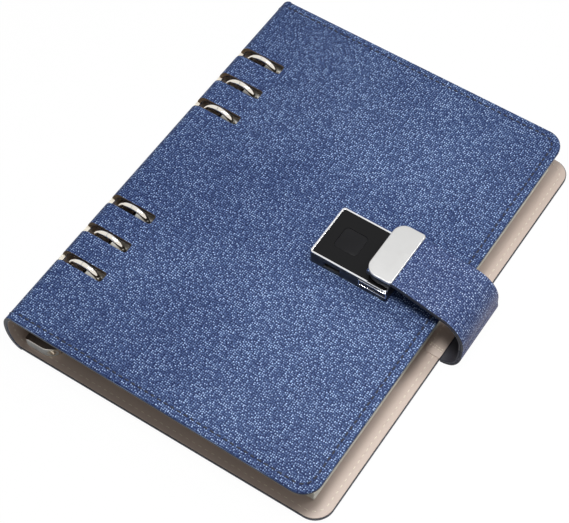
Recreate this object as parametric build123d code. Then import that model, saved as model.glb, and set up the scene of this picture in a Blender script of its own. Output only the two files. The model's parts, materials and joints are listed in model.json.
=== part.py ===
from build123d import *
import os
from math import asin, atan2, cos, hypot, pi, radians, sin, sqrt

# Closed loose-leaf notebook with a fingerprint lock, in millimetres.
# x runs from the spine to the fore edge, y along the spine, z up from the table.
# Distances along x are counted from the spine's fold line; every piece is moved at the end
# so that the middle of the closed notebook's footprint is the origin.

# Standard six-ring pattern, which sets the height of everything else
ring_step = 19.0         # between neighbours in a group of three
ring_middle = 70.0       # between the two groups
ring_pitch = tuple(side * (ring_middle / 2 + k * ring_step)
                   for side, k in ((-1, 2), (-1, 1), (-1, 0), (1, 0), (1, 1), (1, 2)))
rail_past = 21.0         # rails run past the outer rings
rail_end = 17.0          # and stop this far inside the arch's ends
rail_len = 2 * (ring_pitch[-1] + rail_past)
mech_len = rail_len + 2 * rail_end
cover_past = 2.5         # covers run past the arch
page_past = 32.0         # pages run past the outer rings

# Driving dimensions of the case
cover_w = 162.0          # front cover, fold line to fore edge
cover_h = mech_len + 2 * cover_past   # height of both covers, along the spine
back_overhang = 5.5      # the back cover passes the front cover's fore edge by this much
closed_t = 26.6          # thickness of the closed case at the spine
closed_slope = 1.9       # degrees, front cover sloping down to the fore edge
corner_r = 9.5           # fore-edge corners of both covers
skin_t = 0.7             # outer imitation leather
board_t = 1.2            # stiffener board
lining_t = 0.5           # inner lining
hem_w = 1.8              # turned-in edge of the skin round each board
spine_cx = 2.2           # where the flat covers pass into the curved spine
spine_depth = 7.0        # how far the spine bulges past that line
spine_strip_angle = 27.0  # degrees above and below the middle where the spine folds
fold_gap = 0.3           # clearance between the faces of a fold
board_gap = 0.2          # boards stop this far short of the curved spine
over = 2.0               # cutters run past what they cut by this much

# Ring mechanism
ring_cz = 18.9           # height of the rings' centres
ring_r = 8.65            # to the middle of the wire
wire_d = 2.5
ring_foot = 4.0          # the feet stand this far either side of the centre line
ring_gap = 0.1           # between the two tips of a closed ring
mech_w = 18.2            # arched cover plate
mech_gap = 0.3           # arch to the curved spine
ring_cx = spine_cx + mech_gap + mech_w / 2   # line of the rings, from the fold
mech_top = 9.0           # top of the arch above the table
mech_t = 0.7
mech_corner = 4.0
lip_w = 1.0              # inward lips that hold the rails
mech_nose_r = 7.0        # the arch's ends are rounded like this on the fore side, seen from above
mech_heel_r = 3.0        # and like this on the spine side
foot_len = 13.0          # floor folded in under each end of the arch, which takes the rivet
arch_slot_gap = 0.4      # between a ring's foot and its slot in the arch, along the spine
arch_slot_h = 2.0        # depth of those slots below the top of the arch
rail_t = 0.8
rail_z = 4.2             # underside of the rails
rail_side_gap = 0.3
rail_mid_gap = 0.15      # each rail from the centre line
plunger_d = 3.4
plunger_len = 13.4
plunger_x = 6.2          # from the rings' centre line
plunger_z = 5.8
plunger_in = 1.4         # its outer end, inside the arch's rounded nose
plunger_r = 0.5          # rounding of its outer end
plug_t = 6.0
running = 0.05           # radial running clearance
rivet_shank_d = 3.0
rivet_head_d = 4.4
rivet_head_t = 1.3
rivet_head_r = 1.0
rivet_in = 9.5           # rivets stand this far inside the arch's ends
rivet_floor = 0.3        # the shank ends this far above the outer skin

# Paper
page_margin = 1.4        # spine edge of the stack, before the line of the rings
page_fore = 3.8          # fore edge of the stack, inside the front cover's
page_edge_x = ring_cx - page_margin
page_w = cover_w - page_fore - page_edge_x
page_h = 2 * (ring_pitch[-1] + page_past)
pages_t = 9.0
page_hole_d = 6.6
page_lift = 0.3          # between the stack and the top of the arch
page_rest = 4.3          # the stack lies level this far past the arch
page_fall = 31.0         # and reaches the lining over this length
page_drape_x0 = ring_cx + mech_w / 2 + page_rest
page_drape_x1 = page_drape_x0 + page_fall

# Slots in the front cover
slot_side = 1.6          # wire to the slot's long sides
slot_end = 3.15          # middle of the wire to the slot's round end
slot_back = 1.2          # the slot stops this far short of the spine's outermost line
slot_w = wire_d + 2 * slot_side
slot_x0 = spine_cx - spine_depth + slot_back
slot_x1 = ring_cx + ring_r + slot_end

# Lock, on the front cover; heights are above the cover's outer face
lock_in = 65.8           # lock's spine side, from the front cover's fore edge
lock_x0 = cover_w - lock_in
lock_len = 40.9
lock_w = 29.2
lock_y = 1.3             # middle of the lock, from the middle of the cover
lock_h = 8.0
lock_wall = 1.4
lock_floor = 1.0
lock_corner = 1.6
lock_inner_r = 0.4       # smallest corner inside the lock
bezel_h = 1.3
bezel_w = 0.9
glass_t = 1.1
glass_gap = 0.1
glass_sink = 0.15
sensor_in = 13.1         # middle of the finger pad, from the lock's spine side
sensor_side = 12.0
sensor_gap = 0.15
sensor_sink = 0.25
pcb_z = 5.0
pcb_t = 0.8
pcb_len = 22.6
pcb_gap = 0.3            # board to the housing's walls
port_in = 12.1           # middle of the port, from the lock's spine side
port_w = 8.9
port_h = 3.2
port_len = 6.5
port_t = 0.3
port_sink = 0.3          # mouth of the port behind the housing's face
port_r = 1.1
port_inner_r = 0.8
port_tongue_t = 0.7
port_tongue_in = 1.6      # tongue inside the port's outer sides
port_tongue_back = 0.8   # tongue behind the port's mouth
battery_in = 5.8         # cell from the lock's spine side
battery_len = 17.0
battery_w = 16.0
battery_t = 2.8
battery_gap = 0.4        # cell to the housing's wall
boss_d = 3.6
boss_h = 4.0             # up to the circuit board
boss_in = 3.4            # bosses from the outer faces
screw_d = 1.6
screw_head_d = 3.2
screw_head_t = 0.8
screw_head_r = 0.3
screw_hole_gap = 0.1     # radial, in the cover and the back plate
screw_slot_len = 2.2     # cross recess
screw_slot_w = 0.4
screw_slot_h = 0.3
screw_bite = 2.4         # length of screw in the boss
back_plate_t = 0.8
back_plate_in = 1.0      # back plate inside the lock's outline

# Clasp on the strap's end, over the lock
clasp_back = 12.9        # clasp's spine side, before the lock's fore side
clasp_x0 = lock_x0 + lock_len - clasp_back
clasp_len = 14.2
clasp_w = 31.2
clasp_y = 3.3            # middle of the strap, from the middle of the cover
clasp_plate_t = 1.2
clasp_front_r = 6.0
clasp_back_r = 1.5
clasp_top_r = 0.5        # rounding of the plate's upper edge
clasp_edge = 0.9         # the base is smaller than the plate all round
clasp_base_t = 3.0
clasp_base_r = 0.3
clasp_gap = 0.4          # between the clasp and the lock's glass
hook_in = 4.0            # from the clasp's spine side
hook_len = 4.6
hook_t = 2.0
hook_reach = 6.2         # below the clasp base
hook_lead = 0.7          # socket in front of the hook
hook_side = 0.8          # socket either side of the hook
hook_window = 3.2        # the socket is longer than the hook by this, to let it swing out
hook_eye_len = 2.8
hook_eye_h = 2.4
clasp_rivet_d = 2.0

# Latch inside the lock
bolt_w = 2.2
bolt_h = 1.8
bolt_z = 1.3
bolt_len = 12.4
bolt_travel = 3.0
bolt_gap = 0.4           # withdrawn bolt to hook
bolt_nose = 0.3
rack_lead = 2.6          # bolt's rear end to the pinion when the bolt is thrown
guide_gap = 0.1
guide_wall = 0.8
guide_len = 4.2
guide_back = 0.2         # guide behind the withdrawn bolt's tip
pinion_teeth = 10
pinion_module = 0.24
mesh_gap = 0.1           # tooth tips to the roots they run in
pinion_w = 1.8
motor_d = 3.8
motor_len = 7.4
motor_shaft_d = 1.0
motor_gap = 0.4          # motor's face to the pinion
motor_edge = 0.2
shaft_past = 0.6         # shaft past the pinion
bed_in = 0.6             # bed inside the motor's ends

# Strap
strap_t = 2.4
strap_skin_t = 1.3
strap_in = 0.85          # inside the clasp plate's ends
strap_loop_more = 3.0    # wider at the outside of the loop
strap_root_more = 7.5    # wider at the back cover
strap_lead = 0.9         # flat this far past the clasp
loop_past = 0.7          # centre of the loop's upper bend, past the front cover's fore edge
loop_cz = -5.0
loop_r = 15.0
root_lead = 0.5          # straight from the back cover's edge to the lower bend
strap_split_z = 13.6     # height of the fold line that the strap swings about
tab_len = 8.6
tab_t = 0.6
tab_r = 2.0

# Derived
sensor_x = lock_x0 + sensor_in
port_x = lock_x0 + port_in
battery_x0 = lock_x0 + battery_in
hook_x0 = clasp_x0 + hook_in
strap_end_w = clasp_w - 2 * strap_in
strap_loop_w = strap_end_w + strap_loop_more
strap_root_w = strap_end_w + strap_root_more
strap_bend_x = clasp_x0 + clasp_len + strap_lead
loop_cx = cover_w + loop_past
rivet_y = mech_len / 2 - rivet_in
cover_t = skin_t + board_t + lining_t
back_w = cover_w + back_overhang
slope = radians(closed_slope)
fold_drop = closed_t / 2 * sin(radians(spine_strip_angle))
fold_lo = closed_t / 2 - fold_drop
fold_hi = closed_t / 2 + fold_drop
fold_x = spine_cx - spine_depth * cos(radians(spine_strip_angle))
clasp_base_z = lock_h + clasp_gap
strap_top = clasp_base_z + clasp_base_t + strap_t
rail_top = rail_z + rail_t
rail_outer = mech_w / 2 - mech_t - rail_side_gap
half_h = cover_h / 2


def on_front(x, z):
    """A point given on the front cover (x from the fold, z above its face), on the closed case."""
    dx = x - spine_cx
    return (spine_cx + dx * cos(slope) + z * sin(slope),
            closed_t - dx * sin(slope) + z * cos(slope))


front = Location((spine_cx, 0, closed_t), (0, closed_slope, 0)) * Location((-spine_cx, 0, 0))

loop_x, loop_z = on_front(loop_cx, loop_cz)
strap_out = loop_x + loop_r
root_r = strap_out - back_w - root_lead
centre_x = (strap_out + spine_cx - spine_depth) / 2
home = Location((-centre_x, 0, 0))

os.makedirs("parts", exist_ok=True)


def save(name, *solids):
    """Write one node in the notebook's own frame."""
    placed = [s.moved(home) for s in solids]
    export_step(placed[0] if len(placed) == 1 else Compound(children=placed), f"parts/{name}.step")


def block(x0, x1, y0, y1, z0, z1):
    return Pos((x0 + x1) / 2, (y0 + y1) / 2, (z0 + z1) / 2) * Box(x1 - x0, y1 - y0, z1 - z0)


def rod(x, y, z0, z1, d):
    return Pos(x, y, (z0 + z1) / 2) * Cylinder(d / 2, z1 - z0)


def prism(face, y0, y1):
    """Extrude a profile drawn in x and z from y0 to y1."""
    return Pos(0, y1, 0) * extrude(Plane.XZ * face, y1 - y0)


def box_face(x0, x1, z0, z1):
    return Pos((x0 + x1) / 2, (z0 + z1) / 2) * Rectangle(x1 - x0, z1 - z0)


def plate(x1, inset, z0, z1, x0=spine_cx):
    """Flat part of a cover from x0 to x1, its fore-edge corners rounded."""
    w = x1 - inset - x0
    h = cover_h - 2 * inset
    body = Pos(x0 + w / 2, 0, z0) * extrude(Rectangle(w, h), z1 - z0)
    return fillet(body.edges().filter_by(Axis.Z).group_by(Axis.X)[-1], corner_r - inset)


def spine_layer(d0, d1, z0, z1, inset=0):
    """Stretch of the curved spine between two depths below its outer face, from z0 to z1."""
    a = spine_depth
    b = closed_t / 2
    ring = Ellipse(a - d0, b - d0) - Ellipse(a - d1, b - d1)
    band = box_face(spine_cx - a - over, spine_cx, z0, z1)
    return prism((Pos(spine_cx, b) * ring) & band, inset - half_h, half_h - inset)


def tray(x1):
    """Skin of a cover: the outer face with its edge turned in round the board."""
    return plate(x1, 0, 0, skin_t) + (plate(x1, 0, skin_t, skin_t + board_t)
                                      - plate(x1, hem_w, skin_t, skin_t + board_t)
                                      - block(spine_cx - over, spine_cx + hem_w, hem_w - half_h,
                                              half_h - hem_w, skin_t, skin_t + board_t))


def board(x1):
    return plate(x1, hem_w, skin_t, skin_t + board_t, spine_cx + board_gap)


def lining(x1):
    return plate(x1, 0, skin_t + board_t, cover_t)


# Back cover: skin below, board, lining above; the skin and lining curl up into the spine
flap_t = skin_t + board_t


def back_cover():
    lip = spine_layer(0, flap_t, 0, fold_lo)
    holes = [rod(ring_cx, s * rivet_y, skin_t, cover_t + over, rivet_shank_d + 2 * running) for s in (-1, 1)]
    save("back_cover_skin", tray(back_w) + lip)
    save("back_cover_board", board(back_w) - holes)
    save("back_cover_lining", lining(back_w) + spine_layer(flap_t, cover_t, 0, fold_lo) - holes)


# Spine strip between the two folds
def spine():
    z0 = fold_lo + fold_gap
    z1 = fold_hi - fold_gap
    board_in = spine_layer(skin_t, flap_t, z0, z1, hem_w)
    save("spine_skin", spine_layer(0, flap_t, z0, z1) - board_in)
    save("spine_board", board_in)
    save("spine_lining", spine_layer(flap_t, cover_t, z0, z1))


# Front cover: the same layers turned over, with six ring slots and the lock's screw holes
def turned_over(solid):
    """Flip a cover layer so that its outer face looks up, with that face at height 0."""
    return mirror(solid, about=Plane.XY)


def ring_slots():
    r = slot_w / 2
    cutters = []
    for y in ring_pitch:
        cutters.append(block(slot_x0, slot_x1 - r, y - r, y + r, closed_t / 2, closed_t + over)
                       + rod(slot_x1 - r, y, closed_t / 2, closed_t + over, slot_w))
    return cutters


def screw_places():
    xs = (lock_x0 + boss_in, lock_x0 + lock_len - boss_in)
    ys = (lock_y - lock_w / 2 + boss_in, lock_y + lock_w / 2 - boss_in)
    return [(x, y) for x in xs for y in ys]


def front_cover():
    slots = ring_slots()
    hole_d = screw_d + 2 * screw_hole_gap
    holes = [front * rod(x, y, -cover_t - over, over, hole_d) for x, y in screw_places()]
    lip = spine_layer(0, flap_t, fold_hi, closed_t)
    lip_in = spine_layer(flap_t, cover_t, fold_hi, closed_t)
    skin = front * turned_over(tray(cover_w)) + lip - slots - holes
    save("front_cover_skin", skin)
    save("front_cover_board", front * turned_over(board(cover_w)) - slots - holes)
    save("front_cover_lining", front * turned_over(lining(cover_w)) + lip_in - slots - holes - skin)


# Ring mechanism: an arched steel plate riveted to the back cover, holding two rails


def arch_profile(t):
    """Solid outline of the arch, inset by t from its outer face."""
    w = mech_w - 2 * t
    h = mech_top - t - cover_t
    body = Pos(ring_cx, cover_t + h / 2) * Rectangle(w, h)
    return fillet(body.vertices().group_by(Axis.Y)[-1], mech_corner - t)


def nose_plan():
    """The arch's outline from above, its ends rounded."""
    body = Pos(ring_cx, 0, cover_t - over) * extrude(Rectangle(mech_w, mech_len), mech_top + 2 * over)
    body = fillet(body.edges().filter_by(Axis.Z).group_by(Axis.X)[-1], mech_nose_r)
    return fillet(body.edges().filter_by(Axis.Z).group_by(Axis.X)[0], mech_heel_r)


def mechanism_plate():
    sheet = prism(arch_profile(0) - arch_profile(mech_t), -mech_len / 2, mech_len / 2)
    lips = []
    for s in (-1, 1):
        x = ring_cx + s * (mech_w / 2 - mech_t - lip_w / 2)
        lips.append(Pos(x, 0, rail_z - running - mech_t / 2) * Box(lip_w, rail_len, mech_t))
    reach = ring_foot + wire_d
    side = wire_d / 2 + arch_slot_gap
    for y in ring_pitch:
        sheet -= block(ring_cx - reach, ring_cx + reach, y - side, y + side,
                       mech_top - arch_slot_h, mech_top + over)
    feet = []
    for s in (-1, 1):
        ends = sorted((s * (mech_len / 2 - foot_len), s * mech_len / 2))
        foot = block(ring_cx - mech_w / 2, ring_cx + mech_w / 2, *ends, cover_t, cover_t + mech_t)
        feet.append(foot - rod(ring_cx, s * rivet_y, 0, mech_top, rivet_shank_d + 2 * running))
    save("ring_cover_plate", (sheet + lips + feet) & nose_plan())
    rivets = []
    for s in (-1, 1):
        head = rod(ring_cx, s * rivet_y, cover_t + mech_t, cover_t + mech_t + rivet_head_t, rivet_head_d)
        head = fillet(head.edges().group_by(Axis.Z)[-1], rivet_head_r)
        rivets.append(head + rod(ring_cx, s * rivet_y, skin_t + rivet_floor, cover_t + mech_t, rivet_shank_d))
    save("mechanism_rivets", *rivets)


def ring_half(side, y, d=wire_d):
    """Half a ring with its foot on the rail; side is 1 for the fore-edge half, -1 for the other."""
    foot_z = ring_cz - sqrt(ring_r ** 2 - ring_foot ** 2)
    torus = Pos(ring_cx, y, ring_cz) * Rot(90, 0, 0) * Torus(ring_r, d / 2)
    far = ring_r + d
    below = block(ring_cx + ring_foot, ring_cx + far, y - d, y + d, foot_z, ring_cz)
    above = block(ring_cx + ring_gap / 2, ring_cx + far, y - d, y + d, ring_cz, ring_cz + far)
    wire = torus & (below + above)
    foot = rod(ring_cx + ring_foot, y, rail_top, foot_z, d)
    knee = Pos(ring_cx + ring_foot, y, foot_z) * Sphere(d / 2)
    half = wire + foot + knee
    return half if side > 0 else mirror(half, about=Plane.YZ.offset(ring_cx))


def rings():
    for side, word in ((-1, "left"), (1, "right")):
        for i, y in enumerate(ring_pitch):
            save(f"ring_{word}_{i + 1}", ring_half(side, y))
        x0 = ring_cx + side * rail_mid_gap
        x1 = ring_cx + side * rail_outer
        save(f"rail_{word}", block(min(x0, x1), max(x0, x1), -rail_len / 2, rail_len / 2, rail_z, rail_top))


def release():
    """Push button at the tail end of the mechanism, running in a plug that closes the arch."""
    y0 = -mech_len / 2
    end = arch_profile(mech_t + running) & box_face(0, 2 * ring_cx, cover_t + mech_t, mech_top)
    bore = Pos(ring_cx + plunger_x, y0, plunger_z) * Rot(90, 0, 0)
    bore *= Cylinder(plunger_d / 2 + running, 2 * (plug_t + over))
    save("release_plug", (prism(end, y0, y0 + plug_t) & nose_plan()) - bore)
    middle = y0 + plunger_in + plunger_len / 2
    button = Pos(ring_cx + plunger_x, middle, plunger_z) * Rot(90, 0, 0)
    button *= Cylinder(plunger_d / 2, plunger_len)
    button = fillet(button.edges().group_by(Axis.Y)[0], plunger_r)
    save("release_button", button)


# Page stack: lies on the arch at the spine and on the lining beyond it
def page_block():
    z0 = mech_top + page_lift
    z1 = cover_t
    x1 = page_edge_x + page_w
    lower = [Line((page_edge_x, z0), (page_drape_x0, z0)),
             Spline((page_drape_x0, z0), (page_drape_x1, z1), tangents=((1, 0), (1, 0))),
             Line((page_drape_x1, z1), (x1, z1))]
    upper = [Line((page_edge_x, z0 + pages_t), (page_drape_x0, z0 + pages_t)),
             Spline((page_drape_x0, z0 + pages_t), (page_drape_x1, z1 + pages_t), tangents=((1, 0), (1, 0))),
             Line((page_drape_x1, z1 + pages_t), (x1, z1 + pages_t))]
    ends = [Line((page_edge_x, z0), (page_edge_x, z0 + pages_t)), Line((x1, z1), (x1, z1 + pages_t))]
    stack = prism(make_face(lower + upper + ends), -page_h / 2, page_h / 2)
    for y in ring_pitch:
        stack -= ring_half(1, y, page_hole_d)
    save("page_block", stack)


# Lock: housing, rim, glass and what they hold, all drawn on the front cover's face
def lock_outline(inset, z0, z1):
    w = lock_len - 2 * inset
    h = lock_w - 2 * inset
    r = max(lock_corner - inset, lock_inner_r)
    body = Pos(lock_x0 + lock_len / 2, lock_y, z0) * extrude(Rectangle(w, h), z1 - z0)
    return fillet(body.edges().filter_by(Axis.Z), r)


port_z = pcb_z - port_h / 2
bolt_x = hook_x0 + hook_len / 2
bolt_tip = clasp_y - hook_t / 2 - bolt_gap
pitch_r = pinion_teeth * pinion_module / 2
tooth_pitch = pi * pinion_module
tooth_add = 0.6 * pinion_module
tooth_w = 0.32 * tooth_pitch
rack_h = 2 * tooth_add + mesh_gap
pinion_z = bolt_z + bolt_h + tooth_add + mesh_gap + pitch_r
pinion_y = bolt_tip - bolt_len + rack_lead + bolt_travel


def lock_shell():
    rim_z = lock_h - bezel_h
    shell = lock_outline(0, 0, rim_z) - lock_outline(lock_wall, lock_floor, rim_z + over)
    y0 = lock_y - lock_w / 2
    mouth = Pos(port_x, y0, port_z) * Box(port_w + 2 * running, 2 * over, port_h + 2 * running)
    for x, y in screw_places():
        shell += rod(x, y, lock_floor, lock_floor + boss_h, boss_d)
        shell -= rod(x, y, -over, screw_bite + running, screw_d)
    save("lock_housing", front * (shell - mouth))
    rim = lock_outline(0, rim_z, lock_h) - lock_outline(bezel_w, rim_z - over, lock_h + over)
    save("lock_bezel", front * rim)


def lock_top():
    top = lock_h - glass_sink
    side = hook_t / 2 + hook_side
    socket = block(hook_x0 - hook_lead, hook_x0 + hook_len + hook_window, clasp_y - side, clasp_y + side,
                   0, lock_h + over)
    pad = sensor_side / 2 + sensor_gap
    window = block(sensor_x - pad, sensor_x + pad, lock_y - pad, lock_y + pad, 0, lock_h + over)
    glass = lock_outline(bezel_w + glass_gap, top - glass_t, top)
    save("sensor_glass", front * (glass - socket - window))
    half = sensor_side / 2
    save("fingerprint_sensor", front * block(sensor_x - half, sensor_x + half, lock_y - half, lock_y + half,
                                             pcb_z + pcb_t, top - sensor_sink))
    y0 = lock_y - lock_w / 2 + lock_wall
    y1 = lock_y + lock_w / 2 - lock_wall
    board_x0 = lock_x0 + lock_wall + pcb_gap
    save("circuit_board", front * block(board_x0, board_x0 + pcb_len, y0 + pcb_gap, y1 - pcb_gap,
                                        pcb_z, pcb_z + pcb_t))
    save("battery", front * block(battery_x0, battery_x0 + battery_len, y1 - battery_gap - battery_w,
                                  y1 - battery_gap, lock_floor, lock_floor + battery_t))
    shell_y = lock_y - lock_w / 2 + port_sink
    outer = block(port_x - port_w / 2, port_x + port_w / 2, shell_y, shell_y + port_len,
                  port_z - port_h / 2, port_z + port_h / 2)
    outer = fillet(outer.edges().filter_by(Axis.Y), port_r)
    inner = block(port_x - port_w / 2 + port_t, port_x + port_w / 2 - port_t, shell_y - over,
                  shell_y + port_len - port_t, port_z - port_h / 2 + port_t, port_z + port_h / 2 - port_t)
    inner = fillet(inner.edges().filter_by(Axis.Y), port_inner_r)
    tongue = block(port_x - port_w / 2 + port_tongue_in, port_x + port_w / 2 - port_tongue_in,
                   shell_y + port_tongue_back, shell_y + port_len - port_t,
                   port_z - port_tongue_t / 2, port_z + port_tongue_t / 2)
    save("charging_port", front * (outer - inner + tongue))


def lock_fixings():
    plate_z = -cover_t - back_plate_t
    back = lock_outline(back_plate_in, plate_z, -cover_t)
    screws = []
    for x, y in screw_places():
        back -= rod(x, y, plate_z - over, 0, screw_d + 2 * screw_hole_gap)
        head = rod(x, y, plate_z - screw_head_t, plate_z, screw_head_d)
        head = fillet(head.edges().group_by(Axis.Z)[0], screw_head_r)
        mark = Pos(x, y, plate_z - screw_head_t)
        slot = mark * Box(screw_slot_len, screw_slot_w, 2 * screw_slot_h)
        cross = mark * Box(screw_slot_w, screw_slot_len, 2 * screw_slot_h)
        screws.append(front * (head - slot - cross + rod(x, y, plate_z, screw_bite, screw_d)))
    save("lock_back_plate", front * back)
    save("lock_screws", *screws)


def latch():
    """Bolt with a rack on its back, driven by a pinion on the motor's shaft."""
    x0 = bolt_x - bolt_w / 2
    y0 = bolt_tip - bolt_len
    bolt = block(x0, x0 + bolt_w, y0, bolt_tip, bolt_z, bolt_z + bolt_h)
    bolt = chamfer(bolt.edges().group_by(Axis.Y)[-1], bolt_nose)
    for i in range(-1, int(bolt_travel / tooth_pitch) + 2):
        y = pinion_y - i * tooth_pitch
        bolt += Pos(bolt_x, y, bolt_z + bolt_h + rack_h / 2) * Box(bolt_w, tooth_w, rack_h)
    save("latch_bolt", front * bolt)
    root = pitch_r - tooth_add - mesh_gap
    wheel = Rot(0, 90, 0) * Cylinder(root, pinion_w)
    for i in range(pinion_teeth):
        angle = 360 / pinion_teeth * (i + 0.5)
        wheel += Rot(angle, 0, 0) * Pos(0, 0, root) * Box(pinion_w, tooth_w, 2 * (pitch_r + tooth_add - root))
    wheel -= Rot(0, 90, 0) * Cylinder(motor_shaft_d / 2, 2 * pinion_w)
    save("drive_pinion", front * Pos(bolt_x, pinion_y, pinion_z) * wheel)
    x1 = bolt_x - pinion_w / 2 - motor_gap
    motor_place = Pos(x1 - motor_len / 2, pinion_y, pinion_z) * Rot(0, 90, 0)
    motor = motor_place * Cylinder(motor_d / 2, motor_len)
    motor = chamfer(motor.edges().filter_by(GeomType.CIRCLE), motor_edge)
    save("latch_motor", front * motor)
    shaft_len = motor_gap + pinion_w + shaft_past
    shaft = Pos(x1 + shaft_len / 2, pinion_y, pinion_z) * Rot(0, 90, 0)
    shaft *= Cylinder(motor_shaft_d / 2, shaft_len)
    save("motor_shaft", front * shaft)
    side = bolt_w / 2 + guide_gap
    y1 = bolt_tip - guide_back
    guide = block(bolt_x - side - guide_wall, bolt_x + side + guide_wall, y1 - guide_len, y1,
                  lock_floor, bolt_z + bolt_h + rack_h + guide_gap + guide_wall)
    guide -= block(bolt_x - side, bolt_x + side, y0 - over, bolt_tip + over,
                   bolt_z - guide_gap, bolt_z + bolt_h + rack_h + guide_gap)
    bed = block(x1 - motor_len + bed_in, x1 - bed_in, pinion_y - motor_d / 2, pinion_y + motor_d / 2,
                lock_floor, pinion_z)
    bed -= motor_place * Cylinder(motor_d / 2, motor_len + over)
    save("latch_guide", front * guide)
    save("motor_bed", front * bed)


# Clasp on the end of the strap
def clasp():
    x1 = clasp_x0 + clasp_len
    middle = clasp_x0 + clasp_len / 2
    top = Pos(middle, clasp_y, strap_top) * extrude(Rectangle(clasp_len, clasp_w), clasp_plate_t)
    corners = top.edges().filter_by(Axis.Z)
    top = fillet(corners.group_by(Axis.X)[0], clasp_front_r)
    top = fillet(top.edges().filter_by(Axis.Z).group_by(Axis.X)[-1], clasp_back_r)
    top = fillet(top.edges().group_by(Axis.Z)[-1], clasp_top_r)
    save("clasp_plate", front * top)
    base = Pos(middle, clasp_y, clasp_base_z) * extrude(
        Rectangle(clasp_len - 2 * clasp_edge, clasp_w - 2 * clasp_edge), clasp_base_t)
    base = fillet(base.edges().filter_by(Axis.Z).group_by(Axis.X)[0], clasp_front_r - clasp_edge)
    base = fillet(base.edges().group_by(Axis.Z)[0], clasp_base_r)
    hook = block(hook_x0, hook_x0 + hook_len, clasp_y - hook_t / 2, clasp_y + hook_t / 2,
                 clasp_base_z - hook_reach, clasp_base_z)
    eye_z = bolt_z + bolt_h / 2
    hook -= Pos(bolt_x, clasp_y, eye_z) * Box(hook_eye_len, 2 * hook_t, hook_eye_h)
    save("clasp_base", front * base)
    save("clasp_hook", front * hook)
    rivets = []
    for s in (-1, 1):
        rivets.append(front * rod(middle, clasp_y + s * clasp_w / 4, strap_top - strap_t, strap_top,
                                  clasp_rivet_d))
    save("clasp_rivets", *rivets)


# Strap: skin outside, lining inside; the lower quarter of the loop belongs to the back cover
def strap_points(d):
    """Corners of the band's upper run at depth d below its outer face, on the closed case."""
    bx, bz = on_front(strap_bend_x, strap_top)
    reach = hypot(loop_x - bx, bz - loop_z)
    fall = atan2(bz - loop_z, loop_x - bx) - asin(loop_r / reach)
    mid = (fall + slope) / 2
    back = d / cos((fall - slope) / 2)
    start = on_front(clasp_x0 + clasp_edge, strap_top - d)
    bend = (bx - back * sin(mid), bz - back * cos(mid))
    crest = (loop_x + (loop_r - d) * sin(fall), loop_z + (loop_r - d) * cos(fall))
    return start, bend, crest, fall


def band_face(d0, d1):
    s0, b0, c0, fall = strap_points(d0)
    s1, b1, c1, fall = strap_points(d1)
    z = strap_split_z + fold_gap / 2
    edges = []
    for d, s, b, c in ((d0, s0, b0, c0), (d1, s1, b1, c1)):
        outer = (loop_x + loop_r - d, loop_z)
        mid_angle = (radians(90) + fall) / 2
        mid = (loop_x + (loop_r - d) * sin(mid_angle), loop_z + (loop_r - d) * cos(mid_angle))
        edges += [Line(s, b), Line(b, c), ThreePointArc(c, mid, outer), Line(outer, (outer[0], z))]
    edges += [Line(s0, s1), Line((loop_x + loop_r - d0, z), (loop_x + loop_r - d1, z))]
    return make_face(edges)


def root_face(d0, d1):
    z = strap_split_z - fold_gap / 2
    edges = []
    cx = strap_out - root_r
    for d in (d0, d1):
        r = root_r - d
        x = strap_out - d
        low = (cx + r * sin(radians(135)), root_r + r * cos(radians(135)))
        edges += [Line((x, z), (x, root_r)), ThreePointArc((x, root_r), low, (cx, d))]
        edges.append(Line((cx, d), (back_w, d)))
    edges.append(Line((strap_out - d0, z), (strap_out - d1, z)))
    edges.append(Line((back_w, d0), (back_w, d1)))
    return make_face(edges)


def strap():
    x_end, _ = on_front(clasp_x0, 0)
    flare = Polygon((x_end - over, -strap_end_w / 2), (strap_bend_x, -strap_end_w / 2),
                    (strap_out + over, -strap_loop_w / 2), (strap_out + over, strap_loop_w / 2),
                    (strap_bend_x, strap_end_w / 2), (x_end - over, strap_end_w / 2), align=None)
    plan = Pos(0, clasp_y, 0) * extrude(flare, 2 * closed_t)
    wide = strap_root_w / 2 + over
    holes = [front * rod(clasp_x0 + clasp_len / 2, clasp_y + s * clasp_w / 4, 0, strap_top + over,
                         clasp_rivet_d + 2 * running) for s in (-1, 1)]
    for name, d0, d1 in (("strap_skin", 0, strap_skin_t), ("strap_lining", strap_skin_t, strap_t)):
        band = prism(band_face(d0, d1), clasp_y - wide, clasp_y + wide)
        save(name, (band & plan) - holes)
    taper = Polygon((-strap_loop_w / 2, strap_split_z), (-strap_root_w / 2, cover_t),
                    (-strap_root_w / 2, -over), (strap_root_w / 2, -over), (strap_root_w / 2, cover_t),
                    (strap_loop_w / 2, strap_split_z), align=None)
    side_view = Pos(back_w, clasp_y, 0) * extrude(Plane.YZ * taper, strap_out + over - back_w)
    for name, d0, d1 in (("strap_root_skin", 0, strap_skin_t), ("strap_root_lining", strap_skin_t, strap_t)):
        root = prism(root_face(d0, d1), clasp_y - wide, clasp_y + wide)
        save(name, root & side_view)
    tab = block(back_w - tab_len, back_w, clasp_y - strap_root_w / 2, clasp_y + strap_root_w / 2,
                cover_t, cover_t + tab_t)
    save("strap_root_tab", fillet(tab.edges().filter_by(Axis.Z).group_by(Axis.X)[0], tab_r))


back_cover()
spine()
front_cover()
mechanism_plate()
rings()
release()
page_block()
lock_shell()
lock_top()
lock_fixings()
latch()
clasp()
strap()
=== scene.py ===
import json
from math import atan2, cos, pi, radians, sin, sqrt

import bmesh
import bpy
from mathutils import Matrix, Vector

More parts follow.
